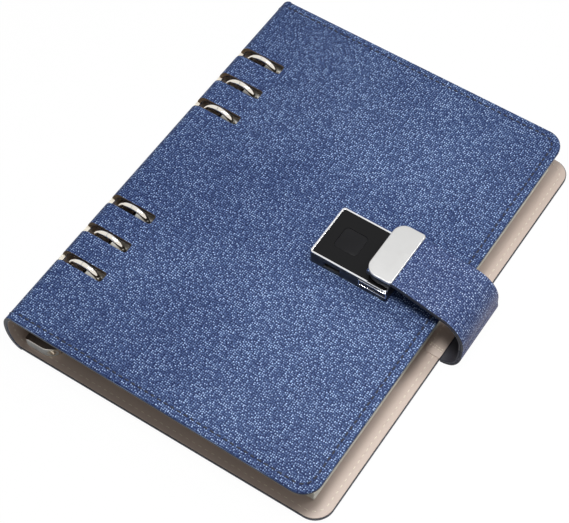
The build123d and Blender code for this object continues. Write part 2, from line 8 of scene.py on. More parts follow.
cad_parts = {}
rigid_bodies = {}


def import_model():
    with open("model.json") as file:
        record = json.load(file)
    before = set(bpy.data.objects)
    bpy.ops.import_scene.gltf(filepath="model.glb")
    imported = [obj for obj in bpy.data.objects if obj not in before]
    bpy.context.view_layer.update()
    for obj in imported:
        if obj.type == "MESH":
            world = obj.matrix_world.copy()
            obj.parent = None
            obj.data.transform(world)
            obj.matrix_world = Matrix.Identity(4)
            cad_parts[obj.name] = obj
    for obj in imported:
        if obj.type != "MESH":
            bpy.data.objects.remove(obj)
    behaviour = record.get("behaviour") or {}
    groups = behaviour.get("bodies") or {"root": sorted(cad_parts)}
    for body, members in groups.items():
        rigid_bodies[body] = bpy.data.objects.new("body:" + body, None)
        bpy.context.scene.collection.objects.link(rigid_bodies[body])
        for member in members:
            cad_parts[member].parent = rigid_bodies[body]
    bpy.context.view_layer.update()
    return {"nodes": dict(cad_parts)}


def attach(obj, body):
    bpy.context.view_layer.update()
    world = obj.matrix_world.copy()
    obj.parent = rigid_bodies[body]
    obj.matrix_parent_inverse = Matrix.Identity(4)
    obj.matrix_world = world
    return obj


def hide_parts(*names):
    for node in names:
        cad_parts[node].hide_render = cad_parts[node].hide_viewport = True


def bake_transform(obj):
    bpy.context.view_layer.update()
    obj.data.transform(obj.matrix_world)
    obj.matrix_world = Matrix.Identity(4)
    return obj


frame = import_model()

# Camera: stands at the right of the notebook's tail edge and looks down on it, as the photograph does.
# Its place and lens come from the page-ring pattern and the front cover's corners.
eye = bpy.data.cameras.new("eye")
eye.lens = 99.96
eye.sensor_width = 36.0
eye.clip_start = 0.01
camera = bpy.data.objects.new("camera", eye)
bpy.context.scene.collection.objects.link(camera)
camera.location = (0.241212, -0.345624, 0.624373)
camera.rotation_euler = (radians(33.9258), radians(1.8638), radians(33.6932))
bpy.context.scene.camera = camera
bpy.context.scene.view_settings.view_transform = "Standard"


# Studio: a white sweep that the object stands on, a large lamp high beyond the head and fore edges, and a
# small one close above the tail half. The white sky is brighter toward the head. The floor keeps a faint
# shadow.
def node(tree, kind, values=None, **settings):
    """Add a shader node; a value may be a number, a colour or another node's (node, output) pair."""
    made = tree.nodes.new(kind)
    for name, value in settings.items():
        setattr(made, name, value)
    for name, value in (values or {}).items():
        socket = made.inputs[name]
        if isinstance(value, tuple) and isinstance(value[0], bpy.types.Node):
            tree.links.new(value[0].outputs[value[1]], socket)
        else:
            socket.default_value = value
    return made


def maths(tree, operation, *values):
    return node(tree, "ShaderNodeMath", dict(enumerate(values)), operation=operation)


def stretched(tree, source, old, new, **settings):
    """Map another node's output from one (low, high) range to a new one."""
    return node(tree, "ShaderNodeMapRange", {"Value": source, "From Min": old[0], "From Max": old[1],
                                             "To Min": new[0], "To Max": new[1]}, **settings)


def white_for_camera(tree, shader, share, white):
    """Mix a shader with plain white light where the camera, a reflection or a transmission sees it."""
    path = node(tree, "ShaderNodeLightPath")
    seen = maths(tree, "MAXIMUM", (path, "Is Camera Ray"), (path, "Is Glossy Ray"))
    seen = maths(tree, "MAXIMUM", (seen, 0), (path, "Is Transmission Ray"))
    seen = maths(tree, "MULTIPLY", (seen, 0), share)
    mix = node(tree, "ShaderNodeMixShader", {0: (seen, 0)})
    tree.links.new(shader.outputs[0], mix.inputs[1])
    tree.links.new(white.outputs[0], mix.inputs[2])
    return mix


bpy.ops.object.select_all(action="DESELECT")
bpy.ops.mesh.primitive_plane_add(size=6.0, location=(0, 0, -0.0002))
floor = bpy.context.object
floor.name = "floor"
floor_finish = bpy.data.materials.new("white_sweep")
floor_finish.use_nodes = True
tree = floor_finish.node_tree
tree.nodes.clear()
matt = node(tree, "ShaderNodeBsdfDiffuse", {"Color": (0.42, 0.42, 0.42, 1)})
white = node(tree, "ShaderNodeEmission", {"Color": (1, 1, 1, 1), "Strength": 1.03})
mixed = white_for_camera(tree, matt, 0.95, white)
node(tree, "ShaderNodeOutputMaterial", {"Surface": (mixed, 0)})
floor.data.materials.append(floor_finish)

world = bpy.data.worlds.new("soft_white")
bpy.context.scene.world = world
world.use_nodes = True
tree = world.node_tree
tree.nodes.clear()
sky = node(tree, "ShaderNodeTexCoord")
toward = node(tree, "ShaderNodeVectorMath", {0: (sky, "Generated"), 1: (0.20, 0.50, 0.84)},
              operation="DOT_PRODUCT")
level = stretched(tree, (toward, "Value"), (-0.1, 0.95), (0.03, 0.54))
fill = node(tree, "ShaderNodeBackground", {"Color": (0.97, 0.98, 1, 1), "Strength": (level, 0)})
white = node(tree, "ShaderNodeBackground", {"Color": (1, 1, 1, 1), "Strength": 1.0})
mixed = white_for_camera(tree, fill, 1.0, white)
node(tree, "ShaderNodeOutputWorld", {"Surface": (mixed, 0)})

for name, place, watts, side in (("head_lamp", (0.75, 1.00, 1.30), 7.0, 0.40),
                                 ("tail_lamp", (0.08, -0.06, 0.42), 1.40, 0.12)):
    lamp = bpy.data.lights.new(name, "AREA")
    lamp.size = side
    lamp.energy = watts
    holder = bpy.data.objects.new(name, lamp)
    bpy.context.scene.collection.objects.link(holder)
    holder.location = place
    holder.rotation_euler = (-Vector(place)).to_track_quat("-Z", "Y").to_euler()


# Back cover wrap: blue imitation leather pulled over a stiff board and turned in round its edges, the
# cut and pressed edges painted near black. It lies flat on the table with its outer face down.
centre_x = 86.323          # middle of the closed case, from the spine's fold line, mm
spine_x = 2.2              # where the flat covers pass into the curved spine
case_t = 26.6
case_h = 227.0
corner_r = 9.5
skin_t = 0.7
wall_t = 1.9               # skin and board
cover_t = 2.4              # with the lining
back_w = 167.5
front_short = 5.6          # the front cover's fore edge lies this far inside the back cover's
seam_in = 3.9              # stitch row from the covers' edges, outside
lie_flat = Matrix.Scale(0.001, 4) @ Matrix.Translation((-centre_x, 0, 0))


def only(piece):
    bpy.ops.object.select_all(action="DESELECT")
    piece.select_set(True)
    bpy.context.view_layer.objects.active = piece


def pick(piece, kind, test):
    """In edit mode, select the edges or faces whose middle passes the test."""
    bpy.ops.object.mode_set(mode="EDIT")
    bpy.ops.mesh.select_mode(type={"edges": "EDGE", "faces": "FACE"}[kind])
    bpy.ops.mesh.select_all(action="DESELECT")
    mesh = bmesh.from_edit_mesh(piece.data)
    for part in getattr(mesh, kind):
        if test(sum((v.co for v in part.verts), Vector()) / len(part.verts)):
            part.select_set(True)
    mesh.select_flush_mode()
    bmesh.update_edit_mesh(piece.data)


def finish_shape(piece, kind, **settings):
    """Give the piece a modifier and apply it."""
    only(piece)
    step = piece.modifiers.new(kind.lower(), kind)
    for name, value in settings.items():
        setattr(step, name, value)
    bpy.ops.object.modifier_apply(modifier=step.name)


def smooth(piece, angle=35.0):
    only(piece)
    bpy.ops.object.mode_set(mode="EDIT")
    bpy.ops.mesh.select_all(action="SELECT")
    bpy.ops.mesh.normals_make_consistent(inside=False)
    bpy.ops.object.mode_set(mode="OBJECT")
    bpy.ops.object.shade_smooth_by_angle(angle=radians(angle))


def settle(piece, place, body):
    """Put a piece that was made in millimetres from the fold line where it belongs, and let it ride."""
    piece.data.transform(piece.matrix_world)
    piece.data.transform(place)
    piece.matrix_world = Matrix.Identity(4)
    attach(piece, body)


def slab(name, x0, x1, y0, y1, z0, z1):
    """A box to start from, in millimetres."""
    bpy.ops.object.select_all(action="DESELECT")
    bpy.ops.mesh.primitive_cube_add(size=1.0)
    piece = bpy.context.object
    piece.name = name
    piece.data.name = name
    piece.data.transform(Matrix.Translation(((x0 + x1) / 2, (y0 + y1) / 2, (z0 + z1) / 2))
                         @ Matrix.Diagonal((x1 - x0, y1 - y0, z1 - z0, 1)))
    return piece


def round_uprights(piece, radius, test, segments=8):
    """Round the upright edges that pass the test."""
    mesh = piece.data
    tall = {i for i, e in enumerate(mesh.edges)
            if (mesh.vertices[e.vertices[0]].co - mesh.vertices[e.vertices[1]].co).to_2d().length < 1e-4}
    places = [(mesh.vertices[mesh.edges[i].vertices[0]].co + mesh.vertices[mesh.edges[i].vertices[1]].co) / 2
              for i in tall]
    pick(piece, "edges", lambda c: test(c) and any((c - p).length < 1e-4 for p in places))
    bpy.ops.mesh.bevel(offset=radius, segments=segments, affect="EDGES", offset_type="OFFSET")
    bpy.ops.object.mode_set(mode="OBJECT")


def soften(piece, width, segments=3, angle=40.0):
    finish_shape(piece, "BEVEL", width=width, segments=segments, limit_method="ANGLE",
                 angle_limit=radians(angle), harden_normals=False)


# The linen grain is one node group: a loose grid of pressed thread crossings along and across the covers,
# each rubbed to its own tone, with a finer one between them. On upright faces it runs up instead of across
grain = bpy.data.node_groups.new("pressed_threads", "ShaderNodeTree")
for name, kind in (("Vector", "NodeSocketVector"), ("Normal", "NodeSocketVector"),
                   ("Threads", "NodeSocketFloat")):
    grain.interface.new_socket(name, in_out="INPUT", socket_type=kind)
for name in ("Shade", "Height"):
    grain.interface.new_socket(name, in_out="OUTPUT", socket_type="NodeSocketFloat")
g_in = node(grain, "NodeGroupInput")
g_out = node(grain, "NodeGroupOutput")
place = node(grain, "ShaderNodeSeparateXYZ", {0: (g_in, "Vector")})
facing = node(grain, "ShaderNodeSeparateXYZ", {0: (g_in, "Normal")})
upward = maths(grain, "GREATER_THAN", (maths(grain, "ABSOLUTE", (facing, 2)), 0), 0.6)
across = maths(grain, "ADD", (maths(grain, "MULTIPLY", (place, 0), (upward, 0)), 0),
               (maths(grain, "MULTIPLY", (place, 2), (maths(grain, "SUBTRACT", 1.0, (upward, 0)), 0)), 0))
sheet_spot = node(grain, "ShaderNodeCombineXYZ", {0: (across, 0), 1: (place, 1)})
shades = []
for pitch, loose in ((1.0, 0.5), (1.9, 1.0)):
    size = maths(grain, "MULTIPLY", (g_in, "Threads"), pitch)
    knots = node(grain, "ShaderNodeTexVoronoi", {"Vector": (sheet_spot, 0), "Scale": (size, 0),
                                                 "Randomness": loose}, voronoi_dimensions="2D")
    crest = stretched(grain, (knots, "Distance"), (0.05, 0.56), (1.0, 0.0))
    tone = node(grain, "ShaderNodeSeparateColor", {0: (knots, "Color")})
    rubbed = maths(grain, "MULTIPLY_ADD", (tone, 0), 0.75, 0.38)
    shades.append(maths(grain, "MULTIPLY", (crest, 0), (rubbed, 0)))
fine = maths(grain, "MULTIPLY", (shades[1], 0), 0.45)
weave = maths(grain, "MULTIPLY_ADD", (shades[0], 0), 0.85, (fine, 0))
grain.links.new(weave.outputs[0], g_out.inputs["Shade"])
grain.links.new(weave.outputs[0], g_out.inputs["Height"])

# The groove that the border seam has pulled into the leather is another: its distance from the cover's
# outline, a rectangle with round fore corners that is longer on the back cover
groove = bpy.data.node_groups.new("seam_groove", "ShaderNodeTree")
groove.interface.new_socket("Vector", in_out="INPUT", socket_type="NodeSocketVector")
groove.interface.new_socket("Depth", in_out="OUTPUT", socket_type="NodeSocketFloat")
g_in = node(groove, "NodeGroupInput")
g_out = node(groove, "NodeGroupOutput")
spot = node(groove, "ShaderNodeSeparateXYZ", {0: (g_in, "Vector")})
is_front = maths(groove, "GREATER_THAN", (spot, "Z"), case_t / 2000)
reach = maths(groove, "MULTIPLY_ADD", (is_front, 0), -front_short / 1000, (back_w - centre_x) / 1000)
past_x = maths(groove, "SUBTRACT", (spot, "X"), (maths(groove, "SUBTRACT", (reach, 0), corner_r / 1000), 0))
past_y = maths(groove, "SUBTRACT", (maths(groove, "ABSOLUTE", (spot, "Y")), 0),
               (case_h / 2 - corner_r) / 1000)
out_x, out_y = (maths(groove, "MAXIMUM", (v, 0), 0.0) for v in (past_x, past_y))
corner = maths(groove, "SQRT", (maths(groove, "ADD", (maths(groove, "MULTIPLY", (out_x, 0), (out_x, 0)), 0),
                                      (maths(groove, "MULTIPLY", (out_y, 0), (out_y, 0)), 0)), 0))
inside = maths(groove, "MINIMUM", (maths(groove, "MAXIMUM", (past_x, 0), (past_y, 0)), 0), 0.0)
depth_in = maths(groove, "ADD", (corner, 0), (inside, 0))
off_line = maths(groove, "ABSOLUTE", (maths(groove, "ADD", (depth_in, 0), (seam_in - corner_r) / 1000), 0))
dent = stretched(groove, (off_line, 0), (0.0009, 0.0002), (0.0, 1.0), interpolation_type="SMOOTHSTEP")
groove.links.new(dent.outputs[0], g_out.inputs["Depth"])


def new_finish(name):
    made = bpy.data.materials.new(name)
    made.use_nodes = True
    tree = made.node_tree
    return made, tree, tree.nodes["Principled BSDF"], node(tree, "ShaderNodeTexCoord")


def raised(tree, bsdf, source, strength, distance):
    """Let another node's output raise the surface."""
    bump = node(tree, "ShaderNodeBump", {"Height": source, "Strength": strength, "Distance": distance})
    tree.links.new(bump.outputs[0], bsdf.inputs["Normal"])


def linen_leather(name, deep, middle, light, threads=940.0, rough=0.62, seamed=1.0):
    """Blue imitation leather with a pressed linen grain, its high threads rubbed lighter."""
    made, tree, bsdf, coords = new_finish(name)
    weave = node(tree, "ShaderNodeGroup", node_tree=grain)
    tree.links.new(coords.outputs["Object"], weave.inputs["Vector"])
    tree.links.new(coords.outputs["Normal"], weave.inputs["Normal"])
    weave.inputs["Threads"].default_value = threads
    cloud = node(tree, "ShaderNodeTexNoise", {"Vector": (coords, "Object"), "Scale": 14.0, "Detail": 3.0})
    lift = stretched(tree, (cloud, "Fac"), (0.3, 0.7), (-0.07, 0.07))
    pulled = node(tree, "ShaderNodeGroup", node_tree=groove)
    tree.links.new(coords.outputs["Object"], pulled.inputs["Vector"])
    shade = maths(tree, "ADD", (weave, "Shade"), (lift, 0))
    # The seam's groove darkens the tone a little: painted shade in the groove, besides its dent in the bump
    # below.
    shade = maths(tree, "MULTIPLY_ADD", (pulled, "Depth"), -0.08 * seamed, (shade, 0))
    shade.use_clamp = True
    relief = maths(tree, "MULTIPLY_ADD", (pulled, "Depth"), -0.8 * seamed, (weave, "Height"))
    ramp = node(tree, "ShaderNodeValToRGB", {"Fac": (shade, 0)})
    stops = ramp.color_ramp
    stops.elements[0].color = (*deep, 1)
    stops.elements[1].color = (*light, 1)
    stops.elements.new(0.55).color = (*middle, 1)
    tree.links.new(ramp.outputs[0], bsdf.inputs["Base Color"])
    gloss = stretched(tree, (shade, 0), (0.0, 1.0), (rough + 0.1, rough - 0.08))
    tree.links.new(gloss.outputs[0], bsdf.inputs["Roughness"])
    raised(tree, bsdf, (relief, 0), 0.25, 0.0002)
    bsdf.inputs["Specular IOR Level"].default_value = 0.22
    return made


def two_tone(tree, factor, one, other):
    """Mix two colours by another node's output."""
    mix = node(tree, "ShaderNodeMix", {"Factor": factor}, data_type="RGBA")
    mix.inputs[6].default_value = (*one, 1)
    mix.inputs[7].default_value = (*other, 1)
    return mix


def soft_grain(name, colour, other, scale=900.0, rough=0.55, bump_depth=0.00008, spread=20.0):
    """A smooth coated surface: fine pebble grain with a slow change of tone."""
    made, tree, bsdf, coords = new_finish(name)
    pebble = node(tree, "ShaderNodeTexVoronoi", {"Vector": (coords, "Object"), "Scale": scale})
    tone = node(tree, "ShaderNodeTexNoise", {"Vector": (coords, "Object"), "Scale": spread, "Detail": 4.0})
    mix = two_tone(tree, (tone, "Fac"), colour, other)
    tree.links.new(mix.outputs[2], bsdf.inputs["Base Color"])
    gloss = stretched(tree, (pebble, "Distance"), (0.0, 1.0), (rough - 0.05, rough + 0.08))
    tree.links.new(gloss.outputs[0], bsdf.inputs["Roughness"])
    raised(tree, bsdf, (pebble, "Distance"), 0.3, bump_depth)
    return made


blue_leather = linen_leather("blue_linen_leather", (0.001, 0.006, 0.050), (0.058, 0.101, 0.232),
                             (0.54, 0.71, 1.0))
cut_backing = soft_grain("cut_backing", (0.11, 0.068, 0.036), (0.16, 0.10, 0.052), scale=1800.0, rough=0.7)
raw_edge = soft_grain("raw_edge", (0.80, 0.75, 0.64), (0.88, 0.83, 0.72), scale=1800.0, rough=0.6)
edge_paint = soft_grain("edge_paint", (0.006, 0.008, 0.016), (0.012, 0.015, 0.028), rough=0.5)


def cover_wrap(name, width):
    """Leather over a board, outer face up at height 0, its walls turned down to the lining."""
    wrap = slab(name, spine_x, width, -case_h / 2, case_h / 2, -wall_t, 0)
    round_uprights(wrap, corner_r, lambda c: c.x > width - 1, segments=14)
    wrap.data.materials.append(blue_leather)
    wrap.data.materials.append(edge_paint)
    for face in wrap.data.polygons:
        face.material_index = 1 if abs(face.normal.z) < 0.5 else 0
    pick(wrap, "faces", lambda c: c.z < -wall_t + 0.01 or (c.x < spine_x + 0.01))
    bpy.ops.mesh.delete(type="FACE")
    bpy.ops.object.mode_set(mode="OBJECT")
    pick(wrap, "edges", lambda c: abs(c.z) < 0.01 and c.x > spine_x + 0.01)
    bpy.ops.mesh.bevel(offset=0.9, segments=5, affect="EDGES", material=0)
    bpy.ops.object.mode_set(mode="OBJECT")
    finish_shape(wrap, "SOLIDIFY", thickness=skin_t, offset=-1.0, use_even_offset=True)
    return wrap


back_wrap = cover_wrap("back_cover_wrap", back_w)
smooth(back_wrap)
settle(back_wrap, lie_flat @ Matrix.Rotation(pi, 4, "X"), "back_cover")
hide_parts("back_cover_skin")


# Back lining: smooth taupe sheet glued over the board and the turned-in edges, with the thread of the
# border seam showing pale on it. It curls up into the spine with the wrap.
lining_leather = soft_grain("taupe_lining", (0.50, 0.405, 0.345), (0.56, 0.46, 0.40), rough=0.50,
                            bump_depth=0.00006, spread=16.0)
lining_in = 0.35           # lining inside the wrap's outer edge


def cover_lining(name, width):
    """Sheet below the wrap, drawn face down as the front cover's is."""
    sheet = slab(name, spine_x, width - lining_in, lining_in - case_h / 2, case_h / 2 - lining_in,
                 -cover_t, -wall_t)
    round_uprights(sheet, corner_r - lining_in, lambda c: c.x > width - 1, segments=14)
    soften(sheet, 0.18, 2)
    sheet.data.materials.append(lining_leather)
    return sheet


back_lining = cover_lining("back_cover_facing", back_w)
smooth(back_lining)
settle(back_lining, lie_flat @ Matrix.Rotation(pi, 4, "X"), "back_cover")


# Spine: the wrap and the lining run on round the back of the case in one bulging curve, and fold where
# the flat covers begin to rise.
spine_depth = 7.0
mid_z = case_t / 2
fold_z = 6.038             # folds above and below the middle
fold_band = 1.2            # half the height over which the leather bends


def drawn_sheet(name, points, run):
    """A line of edges through the points, drawn out by run into a sheet without thickness."""
    bpy.ops.object.select_all(action="DESELECT")
    bpy.ops.mesh.primitive_plane_add(size=1.0)
    sheet = bpy.context.object
    sheet.name = name
    bpy.ops.object.mode_set(mode="EDIT")
    bpy.ops.mesh.select_mode(type="VERT")
    bpy.ops.mesh.select_all(action="SELECT")
    bpy.ops.mesh.merge(type="CENTER")
    bpy.ops.transform.translate(value=points[0])
    for before, after in zip(points, points[1:]):
        bpy.ops.mesh.extrude_vertices_move(TRANSFORM_OT_translate={"value": after - before})
    bpy.ops.mesh.select_all(action="SELECT")
    bpy.ops.mesh.extrude_edges_move(TRANSFORM_OT_translate={"value": run})
    bpy.ops.object.mode_set(mode="OBJECT")
    return sheet


def curved_band(name, depth, thick, z0, z1, finish, end_finish, inset=0.0, steps=20):
    """Stretch of the spine's curve with its thickness, from height z0 to z1."""
    a, b = spine_depth - depth, mid_z - depth
    turns = []
    for z in (z0, z1):
        rise = max(min((z - mid_z) / b, 1.0), -1.0)
        turn = atan2(rise, -sqrt(1 - rise ** 2))
        turns.append(turn if turn > 0 else turn + 2 * pi)
    points = []
    for i in range(steps + 1):
        t = turns[0] + (turns[1] - turns[0]) * i / steps
        points.append(Vector((spine_x + a * cos(t), inset - case_h / 2, mid_z + b * sin(t))))
    band = drawn_sheet(name, points, Vector((0, case_h - 2 * inset, 0)))
    middle = Vector((spine_x, 0, mid_z))
    face = band.data.polygons[len(band.data.polygons) // 2]
    away = face.normal.dot(face.center - middle) > 0
    finish_shape(band, "SOLIDIFY", thickness=thick, offset=-1.0 if away else 1.0, use_even_offset=True)
    band.data.materials.append(finish)
    band.data.materials.append(end_finish)
    for face in band.data.polygons:
        face.material_index = 1 if abs(face.normal.y) > 0.5 else 0
    return band


low, high = mid_z - fold_z, mid_z + fold_z
bands = {}
for word, depth, thick, finish, end, inset in (("wrap", 0.0, wall_t, blue_leather, edge_paint, 0.0),
                                               ("facing", wall_t, cover_t - wall_t, lining_leather,
                                                lining_leather, lining_in)):
    for part, z0, z1 in (("tail", 0.0, low - fold_band), ("low", low - fold_band, mid_z),
                         ("high", mid_z, high + fold_band), ("head", high + fold_band, case_t)):
        cut = {0.0: depth, case_t: case_t - depth}
        band = curved_band(f"spine_{word}_{part}", depth, thick, cut.get(z0, z0), cut.get(z1, z1),
                           finish, end, inset)
        bands[word, part] = band

for word, slot in (("wrap", "skin"), ("facing", "lining")):
    smooth(bands[word, "tail"])
    settle(bands[word, "tail"], lie_flat, "back_cover")
    for part, pair, fold in (("low", ("back_cover", "spine"), low), ("high", ("spine", "front_cover"), high)):
        band = bands[word, part]
        smooth(band)
        band.data.transform(lie_flat)
        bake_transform(band)
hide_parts("spine_skin", "spine_board")
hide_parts("spine_lining")
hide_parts("back_cover_lining")


# Ring mechanism: a nickel-plated steel arch riveted to the back cover, with two spring rails and six split
# rings of round wire. The frame's solids get their finishes here, and each ring a thin dark collar at its
# split.
def plated(name, colour, rough, streak=0.05, across=(90.0, 700.0, 90.0), brushed=0.0):
    """Metal with faint polishing marks and a little uneven gloss."""
    made, tree, bsdf, coords = new_finish(name)
    lay = node(tree, "ShaderNodeMapping", {"Vector": (coords, "Object"), "Scale": across})
    marks = node(tree, "ShaderNodeTexNoise", {"Vector": (lay, 0), "Scale": 1.0, "Detail": 3.0})
    gloss = stretched(tree, (marks, "Fac"), (0.3, 0.7), (max(rough - streak, 0.02), rough + streak))
    tree.links.new(gloss.outputs[0], bsdf.inputs["Roughness"])
    cloud = node(tree, "ShaderNodeTexNoise", {"Vector": (coords, "Object"), "Scale": 45.0, "Detail": 2.0})
    tint = two_tone(tree, (cloud, "Fac"), [c * 0.93 for c in colour], [min(c * 1.05, 1.0) for c in colour])
    tree.links.new(tint.outputs[2], bsdf.inputs["Base Color"])
    bsdf.inputs["Metallic"].default_value = 1.0
    if brushed:
        raised(tree, bsdf, (marks, "Fac"), brushed, 0.00005)
    return made


def rod(name, radius, depth, place, turn=(0, 0, 0), sides=32):
    """A round bar to start from, in millimetres, its place kept in its mesh."""
    bpy.ops.object.select_all(action="DESELECT")
    bpy.ops.mesh.primitive_cylinder_add(vertices=sides, radius=radius, depth=depth, rotation=turn,
                                        location=place)
    bpy.ops.object.transform_apply(location=True, rotation=True)
    piece = bpy.context.object
    piece.name = name
    return piece


def copied(piece, shift):
    """A copy with its own mesh, moved by shift."""
    copy = piece.copy()
    copy.data = piece.data.copy()
    bpy.context.scene.collection.objects.link(copy)
    copy.data.transform(Matrix.Translation(shift))
    return copy


def dress(finish, *names):
    for name in names:
        held = frame["nodes"][name].data.materials
        held.clear()
        held.append(finish)


def rounded_copy(name, width, finish, segments=2, angle=40.0):
    """Replace a node with a copy of its solid whose sharp edges are rounded."""
    source = frame["nodes"][name]
    copy = source.copy()
    copy.data = source.data.copy()
    copy.name = name + "_finished"
    bpy.context.scene.collection.objects.link(copy)
    copy.parent = None
    copy.data.transform(source.matrix_world)
    copy.matrix_world = Matrix.Identity(4)
    only(copy)
    if copy.data.has_custom_normals:
        bpy.ops.mesh.customdata_custom_splitnormals_clear()
    bpy.ops.object.mode_set(mode="EDIT")
    bpy.ops.mesh.select_all(action="SELECT")
    bpy.ops.mesh.remove_doubles(threshold=2e-6)
    bpy.ops.mesh.dissolve_limited(angle_limit=radians(0.4))
    bpy.ops.object.mode_set(mode="OBJECT")
    soften(copy, width / 1000, segments, angle)
    copy.data.materials.clear()
    copy.data.materials.append(finish)
    only(copy)
    bpy.ops.object.shade_smooth_by_angle(angle=radians(30))
    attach(copy, source.parent.name.split(":")[-1])
    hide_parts(name)
    return copy


nickel = plated("polished_nickel", (0.80, 0.755, 0.68), 0.13, 0.06)
mill_steel = plated("mill_steel", (0.46, 0.46, 0.46), 0.34, 0.08, brushed=0.3)
button_metal = plated("lacquered_button", (0.66, 0.56, 0.43), 0.32, 0.06)
white_moulding = soft_grain("white_moulding", (0.62, 0.62, 0.60), (0.70, 0.70, 0.68), scale=1400.0, rough=0.4)
dress(nickel, "mechanism_rivets")
# All of the arch but its rounded ends is nickel darkened to near black: painted shade, for its dark
# reflection of the front cover's shaded underside. The ends keep the bright nickel.
arch = rounded_copy("ring_cover_plate", 0.12, plated("black_nickel", (0.16, 0.15, 0.14), 0.2))
arch.data.materials.append(nickel)
nose_y = 0.104             # the arch's bright rounded ends begin this far from its middle, m
for face in arch.data.polygons:
    if abs(face.normal.z) < 0.6 and abs(face.normal.y) > 0.25 and abs(face.center.y) > nose_y:
        face.material_index = 1
dress(nickel, *(f"ring_{side}_{i}" for side in ("left", "right") for i in range(1, 7)))
dress(mill_steel, "rail_left", "rail_right")
ring_x, ring_z, ring_r = 11.6, 18.9, 8.65    # middle and wire radius of every ring
ring_rows = (-73.0, -54.0, -35.0, 35.0, 54.0, 73.0)
collar = rod("ring_joint", 1.27, 0.26, (ring_x - 0.17, ring_rows[0], ring_z + ring_r), (0, pi / 2, 0))
soften(collar, 0.05, 2)
collar.data.materials.append(mill_steel)
smooth(collar, 30)
for joint in [collar] + [copied(collar, (0, y - ring_rows[0], 0)) for y in ring_rows[1:]]:
    settle(joint, lie_flat, "rings_left")
dress(button_metal, "release_button")
dress(white_moulding, "release_plug")


# Boards: grey stiffener card inside each wrapped cover, seen only in the cut walls of the ring slots. It is
# coloured a near-black brown: painted shade for the dark inside of the slots.
board_painted_shade = soft_grain("stained_card", (0.020, 0.013, 0.009), (0.040, 0.027, 0.018), scale=700.0, rough=0.8,
                        bump_depth=0.0002)
dress(board_painted_shade, "back_cover_board", "front_cover_board")


# Pages: about ninety loose sheets, six holes each, threaded on the rings. They lie over the arch at the
# spine and drop to the lining beyond it; here in eighteen bundles whose edges don't quite line up.
page_x0, page_x1 = 10.2, 158.2
page_half = 105.0
page_top = 9.3             # underside of the stack on the arch
drape = (25.0, 56.0)
bundles = 18
bundle_t = 0.5
hole_r = 3.3
wire_root_z = 11.24        # below it the rings' wire runs straight down, this far from their middle
wire_root = 4.0


def paper_finish():
    """Cream-white paper. Its upright faces show fine darker lines: the sheets' own edges, with painted shade
    between them; upward faces stay plain.
    """
    made, tree, bsdf, coords = new_finish("page_paper")
    lay = node(tree, "ShaderNodeMapping", {"Vector": (coords, "Object"), "Scale": (40.0, 40.0, 9000.0)})
    sheets = node(tree, "ShaderNodeTexNoise", {"Vector": (lay, 0), "Scale": 1.0, "Detail": 1.0})
    side = node(tree, "ShaderNodeSeparateXYZ", {0: (coords, "Normal")})
    # Only upright faces get the darker streaks: painted shade between the sheets, besides their edges.
    level = maths(tree, "GREATER_THAN", (maths(tree, "ABSOLUTE", (side, 2)), 0), 0.75)
    shade = maths(tree, "MAXIMUM", (sheets, 0), (level, 0))
    ramp = node(tree, "ShaderNodeValToRGB", {"Fac": (shade, 0)})
    ramp.color_ramp.elements[0].position = 0.35
    ramp.color_ramp.elements[0].color = (0.62, 0.60, 0.54, 1)
    ramp.color_ramp.elements[1].position = 0.55
    ramp.color_ramp.elements[1].color = (0.86, 0.85, 0.79, 1)
    tree.links.new(ramp.outputs[0], bsdf.inputs["Base Color"])
    fibre = node(tree, "ShaderNodeTexNoise", {"Vector": (coords, "Object"), "Scale": 1500.0, "Detail": 2.0})
    raised(tree, bsdf, (fibre, "Fac"), 0.15, 0.00005)
    bsdf.inputs["Roughness"].default_value = 0.85
    return made


def page_height(x):
    """How far the stack has dropped at x."""
    t = min(max((x - drape[0]) / (drape[1] - drape[0]), 0.0), 1.0)
    return page_top + (cover_t - page_top) * t * t * (3 - 2 * t)


def joined(pieces):
    only(pieces[0])
    for piece in pieces:
        piece.select_set(True)
    bpy.ops.object.join()
    return bpy.context.object


def carve(piece, cutter):
    finish_shape(piece, "BOOLEAN", operation="DIFFERENCE", object=cutter, solver="EXACT")
    bpy.data.objects.remove(cutter)


first = rod("punch", hole_r, 4.0, (0, ring_rows[0], 0), sides=24)
punch = joined([first] + [copied(first, (0, y - ring_rows[0], 0)) for y in ring_rows[1:]])
stack = []
for i in range(bundles):
    slip = 0.18 * sin(i * 2.4) + 0.1 * sin(i * 0.9)
    xs = [page_x0 + 0.2 + slip] + [drape[0] + (drape[1] - drape[0]) * k / 14 for k in range(15)]
    xs.append(page_x1 - 0.3 + slip)
    lift = i * bundle_t + bundle_t / 2
    points = [Vector((x, -page_half + 0.2 + slip, page_height(x) + lift)) for x in xs]
    leaf = drawn_sheet("leaf", points, Vector((0, 2 * page_half - 0.5, 0)))
    finish_shape(leaf, "SOLIDIFY", thickness=bundle_t * 0.94, offset=0.0, use_even_offset=True)
    z = page_top + lift
    wire = sqrt(ring_r ** 2 - (z - ring_z) ** 2) if z > wire_root_z else wire_root
    carve(leaf, copied(punch, (ring_x + wire, 0, z)))
    stack.append(leaf)
bpy.data.objects.remove(punch)
pages = joined(stack)
pages.name = "loose_pages"
pages.data.materials.clear()
pages.data.materials.append(paper_finish())
smooth(pages, 25)
settle(pages, lie_flat, "back_cover")
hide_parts("page_block")


# Front cover: the same wrap and lining turned over, sloping down a little to the fore edge, with six slots
# through which the rings show. The slots run on into the curve of the spine.
front_w = 162.0
slope = radians(1.9)
tilt = (Matrix.Translation((spine_x, 0, case_t)) @ Matrix.Rotation(slope, 4, "Y")
        @ Matrix.Translation((-spine_x, 0, 0)))
on_cover = lie_flat @ tilt
slot_w, slot_x0, slot_x1 = 5.7, -3.6, 23.4
fore_corner, spine_corner = 1.3, 0.6


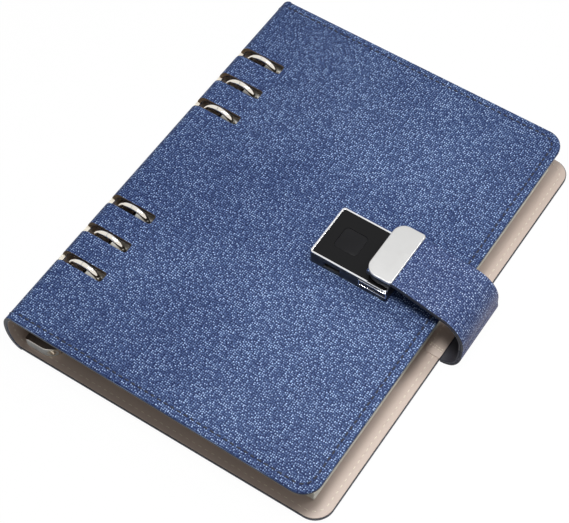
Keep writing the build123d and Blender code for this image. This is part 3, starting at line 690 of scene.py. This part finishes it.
def slot_cutters():
    """Six blocks of the slots' shape, as one piece."""
    y = ring_rows[0]
    cutter = slab("slot_cutter", slot_x0, slot_x1, y - slot_w / 2, y + slot_w / 2, mid_z, case_t + 3)
    round_uprights(cutter, fore_corner, lambda c: c.x > slot_x1 - 1, segments=5)
    round_uprights(cutter, spine_corner, lambda c: c.x < slot_x0 + 1, segments=3)
    return joined([cutter] + [copied(cutter, (0, row - y, 0)) for row in ring_rows[1:]])


def slot_walls(piece):
    """Faces that the slot cutters left in a piece."""
    reach = slot_w / 2 + 0.02
    for face in piece.data.polygons:
        c = face.center
        if (any(abs(c.y - y) < reach for y in ring_rows) and slot_x0 - 0.02 < c.x < slot_x1 + 0.02
                and abs(face.normal.z) < 0.6 and c.z > mid_z):
            yield face


front_wrap = cover_wrap("front_cover_wrap", front_w)
front_facing = cover_lining("front_cover_facing", front_w)
for piece in (front_wrap, front_facing):
    piece.data.transform(tilt)
cutter = slot_cutters()
for piece in (front_wrap, front_facing, bands["wrap", "head"], bands["facing", "head"]):
    finish_shape(piece, "BOOLEAN", operation="DIFFERENCE", object=cutter, solver="EXACT")
bpy.data.objects.remove(cutter)
for piece in (front_wrap, bands["wrap", "head"]):
    piece.data.materials.append(cut_backing)
    piece.data.materials.append(raw_edge)
    for face in slot_walls(piece):
        if face.center.x < slot_x0 + 0.7 and abs(face.normal.x) > 0.3:
            face.material_index = 3
        elif abs(face.normal.y) > 0.5 or piece is front_wrap:
            face.material_index = 2
for piece, rim in ((bands["wrap", "high"], raw_edge), (bands["facing", "high"], edge_paint)):
    piece.data.materials.append(rim)
    for face in piece.data.polygons:
        if face.normal.z > 0.7 and face.center.z > mid_z / 1000:
            face.material_index = len(piece.data.materials) - 1
for piece in (front_facing, bands["facing", "head"]):
    piece.data.materials.append(edge_paint)
    for face in slot_walls(piece):
        face.material_index = len(piece.data.materials) - 1
for piece, slot in ((front_wrap, "skin"), (front_facing, "lining"), (bands["wrap", "head"], "skin"),
                    (bands["facing", "head"], "lining")):
    smooth(piece)
    settle(piece, lie_flat, "front_cover")
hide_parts("front_cover_skin")
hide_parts("front_cover_lining")


# Border seam: one lockstitch row round both covers and over the spine, waxed navy thread outside and pale
# thread on the lining. The stitches are short, and their ends dip into the needle holes.
stitch_pitch = 3.5
seam_in_lining = 3.2       # row from the covers' edges, inside


def thread_finish(name, colour, other):
    """Twisted thread: fine slanting ply lines."""
    made, tree, bsdf, coords = new_finish(name)
    lay = node(tree, "ShaderNodeMapping", {"Vector": (coords, "Object"), "Rotation": (0.3, 0.5, 0.7)})
    ply = node(tree, "ShaderNodeTexWave", {"Vector": (lay, 0), "Scale": 900.0, "Distortion": 1.0})
    mix = two_tone(tree, (ply, "Fac"), colour, other)
    tree.links.new(mix.outputs[2], bsdf.inputs["Base Color"])
    raised(tree, bsdf, (ply, "Fac"), 0.5, 0.00008)
    bsdf.inputs["Roughness"].default_value = 0.6
    return made


navy_thread = thread_finish("navy_thread", (0.003, 0.005, 0.015), (0.009, 0.014, 0.036))
pale_thread = thread_finish("pale_thread", (0.58, 0.52, 0.42), (0.80, 0.75, 0.64))


def one_stitch(length, width, height):
    """A stitch lying along x: a stretched bead with its ends pulled down."""
    bpy.ops.object.select_all(action="DESELECT")
    bpy.ops.mesh.primitive_uv_sphere_add(segments=10, ring_count=7, radius=0.5, rotation=(0, pi / 2, 0))
    bead = bpy.context.object
    bpy.ops.object.transform_apply(rotation=True)
    bead.data.transform(Matrix.Diagonal((length, width, height, 1)))
    for v in bead.data.vertices:
        reach = abs(v.co.x) / (length / 2)
        v.co.y *= 1 + 0.35 * reach
        v.co.z -= 0.35 * height * reach ** 3
    return bead


def seam_row(name, spots, finish, length, width, height):
    """Copies of one stitch at (place, direction, outward) spots, joined into a row."""
    bead = one_stitch(length, width, height)
    row = []
    for i, (spot, along, out) in enumerate(spots):
        copy = copied(bead, (0, 0, 0))
        side = out.cross(along).normalized()
        turn = Matrix((along, side, out)).transposed().to_4x4()
        wobble = Matrix.Rotation(0.09 * sin(i * 2.1), 4, "Z")
        copy.data.transform(Matrix.Translation(spot) @ turn @ wobble)
        row.append(copy)
    bpy.data.objects.remove(bead)
    made = joined(row)
    made.name = name
    made.data.materials.clear()
    made.data.materials.append(finish)
    only(made)
    bpy.ops.object.shade_smooth()
    return made


def border_spots(width, inset):
    """Places and directions along a cover's three outer edges, head edge first, in the cover's plane."""
    y = case_h / 2 - inset
    x = width - inset
    r = corner_r - inset + 1.0
    lines = [(Vector((spine_x, y)), Vector((x - r, y))), (Vector((x, y - r)), Vector((x, r - y))),
             (Vector((x - r, -y)), Vector((spine_x, -y)))]
    bends = [Vector((x - r, y - r)), Vector((x - r, r - y))]
    path = []
    for i, (a, b) in enumerate(lines):
        steps = max(2, int((b - a).length / 0.5))
        path += [a.lerp(b, k / steps) for k in range(steps + 1)]
        if i < 2:
            start = pi / 2 if i == 0 else 0.0
            path += [bends[i] + Vector((cos(start - k * pi / 32), sin(start - k * pi / 32))) * r
                     for k in range(1, 16)]
    spots, walked, due = [], 0.0, stitch_pitch / 2
    for a, b in zip(path, path[1:]):
        step = (b - a).length
        while step > 0 and walked + step >= due:
            t = (due - walked) / step
            spots.append((a.lerp(b, t), (b - a).normalized()))
            due += stitch_pitch
        walked += step
    return spots


def spine_spots(depth, z0, z1, y, lift):
    """Places round the spine's curve from height z0 to z1."""
    a, b = spine_depth - depth + lift, mid_z - depth + lift
    spots, t, last = [], 1.5 * pi, None
    walked, due = 0.0, stitch_pitch / 2
    while t > pi / 2:
        spot = Vector((spine_x + a * cos(t), y, mid_z + b * sin(t)))
        if last is not None:
            walked += (spot - last).length
            if walked >= due:
                along = (spot - last).normalized()
                out = Vector((cos(t) / a, 0, sin(t) / b)).normalized()
                if z0 < spot.z < z1:
                    spots.append((spot, along, out if lift > 0 else -out))
                due += stitch_pitch
        last = spot
        t -= 0.01
    return spots


def lifted(flat_spots, z, out):
    return [(Vector((p.x, p.y, z)), Vector((d.x, d.y, 0)), Vector((0, 0, out))) for p, d in flat_spots]


def border_row(body, side, width, inset, z, out, size):
    """The row on one side of one cover."""
    finish, slot = (navy_thread, "skin") if side == "outside" else (pale_thread, "lining")
    spots = lifted(border_spots(width, inset), z, out)
    row = seam_row(f"{body.split('_')[0]}_seam_{side}", spots, finish, *size)
    settle(row, on_cover if body == "front_cover" else lie_flat, body)


border_row("front_cover", "outside", front_w, seam_in, 0.10, 1, (2.4, 0.8, 0.46))
border_row("front_cover", "inside", front_w, seam_in_lining, -cover_t - 0.06, -1, (1.9, 0.42, 0.3))
border_row("back_cover", "inside", back_w, seam_in_lining, cover_t + 0.06, 1, (1.9, 0.42, 0.3))
border_row("back_cover", "outside", back_w, seam_in, 0.03, -1, (2.5, 0.62, 0.26))
for word, body, z0, z1 in (("tail", "back_cover", 1.0, low - 1.0), ("middle", "spine", low + 1.0, high - 1.0),
                           ("head", "front_cover", high + 1.0, case_t - 0.6)):
    for side, depth, lift, finish, slot in (("outside", 0.0, 0.08, navy_thread, "skin"),
                                            ("inside", cover_t, -0.05, pale_thread, "lining")):
        spots = []
        inset = seam_in if side == "outside" else seam_in_lining
        for y in (inset - case_h / 2, case_h / 2 - inset):
            spots += spine_spots(depth, max(z0, depth + 0.4), min(z1, case_t - depth - 0.4), y, lift)
        size = (2.3, 0.6, 0.4) if side == "outside" else (1.8, 0.4, 0.28)
        row = seam_row(f"spine_seam_{side}_{word}", spots, finish, *size)
        settle(row, lie_flat, body)


# Lock: black moulded housing screwed through the front cover, a chrome rim round black glass, and a finger
# pad sunk in the glass. The housing and the rim are the frame's solids with their edges rounded.
lock_x0, lock_len, lock_w, lock_y = 96.2, 40.9, 29.2, 1.3
lock_h = 8.0
glass_z = lock_h - 0.15
glass_t = 1.1
pad_x = lock_x0 + 13.1
pad_side = 12.0
pad_gap = 0.12
pad_seat = 5.8
hook_x, hook_y = 128.2, 3.3
chrome = plated("bright_chrome", (0.86, 0.86, 0.87), 0.06, 0.03, across=(400.0, 400.0, 400.0))
shell_black = soft_grain("moulded_black", (0.010, 0.010, 0.011), (0.017, 0.017, 0.019), scale=1600.0,
                         rough=0.36, bump_depth=0.00003)

rounded_copy("lock_housing", 0.2, shell_black)
rim = rounded_copy("lock_bezel", 0.22, chrome)
# The rim's upright sides take the black moulding's colour: painted shade on chrome sides that lie in shadow.
rim.data.materials.append(shell_black)
for face in rim.data.polygons:
    if abs(face.normal.z) < 0.2 and face.area > 3e-6:
        face.material_index = 1


def rounded_square(x, y, side, radius, z0, z1):
    block = slab("cutter", x - side / 2, x + side / 2, y - side / 2, y + side / 2, z0, z1)
    round_uprights(block, radius, lambda c: True, segments=5)
    return block


def black_glass():
    """Tinted glass: near black, with a hint of dust in its gloss."""
    made, tree, bsdf, coords = new_finish("black_glass")
    dust = node(tree, "ShaderNodeTexNoise", {"Vector": (coords, "Object"), "Scale": 500.0, "Detail": 6.0})
    gloss = stretched(tree, (dust, "Fac"), (0.0, 1.0), (0.06, 0.16))
    tree.links.new(gloss.outputs[0], bsdf.inputs["Roughness"])
    bsdf.inputs["Base Color"].default_value = (0.007, 0.007, 0.0075, 1)
    bsdf.inputs["Specular IOR Level"].default_value = 0.12
    return made


glass = slab("lock_glass", lock_x0 + 1.0, lock_x0 + lock_len - 1.0, lock_y - lock_w / 2 + 1.0,
             lock_y + lock_w / 2 - 1.0, glass_z - glass_t, glass_z)
round_uprights(glass, 0.6, lambda c: True, segments=3)
carve(glass, rounded_square(pad_x, lock_y, pad_side + 2 * pad_gap, 2.1, glass_z - 3, glass_z + 2))
socket = slab("socket", hook_x - 0.7, hook_x + 7.8, hook_y - 1.8, hook_y + 1.8, glass_z - 3, glass_z + 2)
carve(glass, socket)
glass.data.materials.append(black_glass())
smooth(glass, 30)
settle(glass, on_cover, "front_cover")
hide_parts("sensor_glass")
pad = rounded_square(pad_x, lock_y, pad_side, 2.0, pad_seat, glass_z - 0.06)
pad.name = "finger_pad"
soften(pad, 0.1, 2)
pad_finish = soft_grain("finger_pad", (0.006, 0.006, 0.007), (0.009, 0.009, 0.010), scale=3000.0, rough=0.3,
                        bump_depth=0.000005)
pad_finish.node_tree.nodes["Principled BSDF"].inputs["Specular IOR Level"].default_value = 0.12
pad.data.materials.append(pad_finish)
smooth(pad, 30)
settle(pad, on_cover, "front_cover")
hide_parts("fingerprint_sensor")

# Chrome trim: an open rectangular frame on each long side of the lock, over the latch, with a small domed pin
trim_x0, trim_x1 = 122.6, lock_x0 + lock_len + 0.15
trim_z0, trim_z1 = 2.7, 6.6
trim_out, trim_sunk = 0.22, 0.1
near_y = lock_y - lock_w / 2
trim = slab("side_trim", trim_x0, trim_x1, near_y - trim_out, near_y + trim_sunk, trim_z0, trim_z1)
carve(trim, slab("opening", trim_x0 + 0.45, trim_x1 - 0.6, near_y - 2, near_y + 2, trim_z0 + 0.6,
                 trim_z1 - 0.6))
soften(trim, 0.08, 2)
pin = rod("trim_pin", 0.62, 1.4, (trim_x1 - 0.5, near_y, 7.1), (pi / 2, 0, 0), sides=20)
soften(pin, 0.3, 3)
for piece, shift in ((trim, lock_w + trim_out - trim_sunk), (pin, lock_w)):
    piece.data.materials.append(chrome)
    smooth(piece, 30)
    for made in (copied(piece, (0, shift, 0)), piece):
        settle(made, on_cover, "front_cover")


# Inside the lock: circuit board, lithium cell, charging socket, latch motor with its pinion and rack bolt,
# and the plate and screws that hold the lock on from inside the cover.
def circuit_finish():
    """Green solder mask with a lighter pattern of tracks."""
    made, tree, bsdf, coords = new_finish("solder_mask")
    tracks = node(tree, "ShaderNodeTexBrick", {
        "Vector": (coords, "Object"), "Scale": 260.0, "Mortar Size": 0.05, "Mortar": (0.09, 0.20, 0.06, 1),
        "Color1": (0.010, 0.075, 0.028, 1), "Color2": (0.008, 0.055, 0.022, 1)})
    tree.links.new(tracks.outputs[0], bsdf.inputs["Base Color"])
    bsdf.inputs["Roughness"].default_value = 0.35
    return made


dress(circuit_finish(), "circuit_board")
dress(soft_grain("cell_pouch", (0.42, 0.44, 0.47), (0.55, 0.57, 0.60), scale=350.0, rough=0.3,
                 bump_depth=0.0003), "battery")
dress(plated("socket_shell", (0.30, 0.30, 0.31), 0.3), "charging_port")
dress(plated("satin_steel", (0.58, 0.58, 0.57), 0.3, 0.1, brushed=0.3), "lock_back_plate", "latch_motor",
      "motor_shaft", "lock_screws")
dress(plated("bolt_steel", (0.62, 0.60, 0.56), 0.25, brushed=0.2), "latch_bolt", "clasp_hook", "clasp_rivets")
dress(plated("pinion_brass", (0.72, 0.53, 0.25), 0.28), "drive_pinion")
dress(shell_black, "latch_guide", "motor_bed")


# Clasp: a satin aluminium plate riveted over the strap's end, above a black moulded base whose steel hook
# drops into the lock.
satin = plated("satin_aluminium", (0.60, 0.598, 0.592), 0.36, across=(350.0, 2600.0, 350.0), brushed=0.12)
dress(satin, "clasp_plate")
rounded_copy("clasp_base", 0.2, shell_black)


# Strap: the covers' leather outside and a near-black backing inside, glued together with painted edges. It
# leaves the clasp, widens round a wide loop, and folds near the back cover, where its root is sewn on.
clasp_y = 3.3
strap_top = 13.8           # above the front cover's face
strap_skin_t, strap_t = 1.3, 2.4
end_w, loop_w, root_w = 29.5, 32.5, 37.0
strap_x0, bend_x = 125.1, 139.3
loop_r = 15.0
loop_mid = Vector((162.446, 0, 16.281))
strap_out = loop_mid.x + loop_r
split_z = 13.6
root_r = strap_out - back_w - 0.5
root_mid = Vector((strap_out - root_r, 0, root_r))


def on_front(x, z):
    """A place x from the fold line and z above the front cover, before the cover's slope."""
    dx = x - spine_x
    return Vector((spine_x + dx * cos(slope) + z * sin(slope), 0, case_t - dx * sin(slope) + z * cos(slope)))


def upper_path():
    """The strap's outer face from the clasp to the fold, seen from the tail end."""
    start, bend = on_front(strap_x0, strap_top), on_front(bend_x, strap_top)
    reach = sqrt((loop_mid.x - bend.x) ** 2 + (bend.z - loop_mid.z) ** 2)
    rise = atan2(bend.z - loop_mid.z, loop_mid.x - bend.x)
    fall = rise - atan2(loop_r, sqrt(reach ** 2 - loop_r ** 2))
    crest = loop_mid + loop_r * Vector((sin(fall), 0, cos(fall)))
    before, after = bend.lerp(start, 0.28), bend.lerp(crest, 0.28)
    path = [start.lerp(before, k / 4) for k in range(4)]
    path += [before.lerp(bend, t).lerp(bend.lerp(after, t), t) for t in (k / 6 for k in range(7))]
    path += [after.lerp(crest, k / 4) for k in range(1, 4)]
    path += [loop_mid + loop_r * Vector((sin(a), 0, cos(a)))
             for a in (fall + (pi / 2 - fall) * k / 20 for k in range(21))]
    path.append(Vector((strap_out, 0, split_z)))
    return path


def root_path():
    """The strap's outer face from the fold down to the back cover's edge."""
    path = [Vector((strap_out, 0, split_z))]
    path += [root_mid + root_r * Vector((cos(a), 0, -sin(a))) for a in (pi / 2 * k / 14 for k in range(15))]
    path.append(Vector((back_w, 0, 0)))
    return path


def strap_width(point):
    if point.z > split_z - 0.01:
        t = (point.x - bend_x) / (strap_out - bend_x)
        return end_w + (loop_w - end_w) * min(max(t, 0), 1)
    t = (split_z - point.z) / (split_z - cover_t)
    return loop_w + (root_w - loop_w) * min(max(t, 0), 1)


def ribbon(name, path, middle, depth, thick, finish, edge):
    """A layer of the strap, its long edges rounded and painted."""
    inner = []
    for i, p in enumerate(path):
        along = (path[min(i + 1, len(path) - 1)] - path[max(i - 1, 0)]).normalized()
        inner.append(p - depth * Vector((-along.z, 0, along.x)))
    sheet = drawn_sheet(name, inner, Vector((0, 1, 0)))
    for v in sheet.data.vertices:
        nearest = min(range(len(path)), key=lambda i: (inner[i] - Vector((v.co.x, 0, v.co.z))).length)
        v.co.y = clasp_y + (v.co.y - 0.5) * (strap_width(path[nearest]) - 0.12)
    away = sum(face.normal.dot(face.center - middle) for face in sheet.data.polygons) > 0
    finish_shape(sheet, "SOLIDIFY", thickness=thick, offset=-1.0 if away else 1.0, use_even_offset=True)
    sheet.data.materials.append(finish)
    sheet.data.materials.append(edge)
    soften(sheet, 0.42, 3, 50)
    for face in sheet.data.polygons:
        face.material_index = 1 if abs(face.normal.y) > 0.55 else 0
    return sheet


strap_leather = linen_leather("strap_linen_leather", (0.002, 0.008, 0.056), (0.064, 0.102, 0.230),
                              (0.56, 0.69, 0.95), threads=980.0, seamed=0.0)
nap = strap_leather.node_tree.nodes["Principled BSDF"]
nap.inputs["Sheen Weight"].default_value = 0.35
nap.inputs["Sheen Roughness"].default_value = 0.4
nap.inputs["Sheen Tint"].default_value = (0.80, 0.70, 0.85, 1)
strap_inside = soft_grain("strap_inside", (0.018, 0.018, 0.026), (0.032, 0.031, 0.040), rough=0.6)
for path, middle, body, word in ((upper_path(), loop_mid, "strap", "strap"),
                                 (root_path(), root_mid, "back_cover", "strap_root")):
    outside = ribbon(word + "_leather", path, middle, 0.0, strap_skin_t, strap_leather, edge_paint)
    inside = ribbon(word + "_backing", path, middle, strap_skin_t, strap_t - strap_skin_t, strap_inside,
                    edge_paint)
    for piece, target, slot in ((outside, word + "_skin", "skin"),
                                (inside, word + "_lining", "strap_inside")):
        smooth(piece, 30)
        settle(piece, lie_flat, body)
        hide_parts(target)


# Strap tab: the strap's inner end, a thin piece of the lining leather that lies on the back lining. It is
# sewn down with two short double rows and one row across.
tab_x0, tab_t = 158.9, 0.6
tab_stitch_x = tab_x0 + 1.3
tab = slab("strap_tab", tab_x0, back_w, clasp_y - root_w / 2, clasp_y + root_w / 2, cover_t, cover_t + tab_t)
round_uprights(tab, 2.0, lambda c: c.x < tab_x0 + 1, segments=6)
soften(tab, 0.25, 3)
tab.data.materials.append(lining_leather)
smooth(tab)
settle(tab, lie_flat, "back_cover")
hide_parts("strap_root_tab")
up = Vector((0, 0, 1))
stitch_z = cover_t + tab_t + 0.06
spots = []
for edge_y, inward in ((clasp_y - root_w / 2, 1), (clasp_y + root_w / 2, -1)):
    for offset in (4.2, 5.4):
        along = Vector((1, -0.12 * inward, 0)).normalized()
        spots += [(Vector((tab_stitch_x + 1.5 * k, edge_y + inward * (offset - 0.18 * k), stitch_z)),
                   along, up) for k in range(5)]
spots += [(Vector((tab_stitch_x, clasp_y - 13 + 2.6 * k, stitch_z)), Vector((0, 1, 0)), up)
          for k in range(11)]
row = seam_row("tab_stitches", spots, pale_thread, 1.15, 0.4, 0.3)
settle(row, lie_flat, "back_cover")
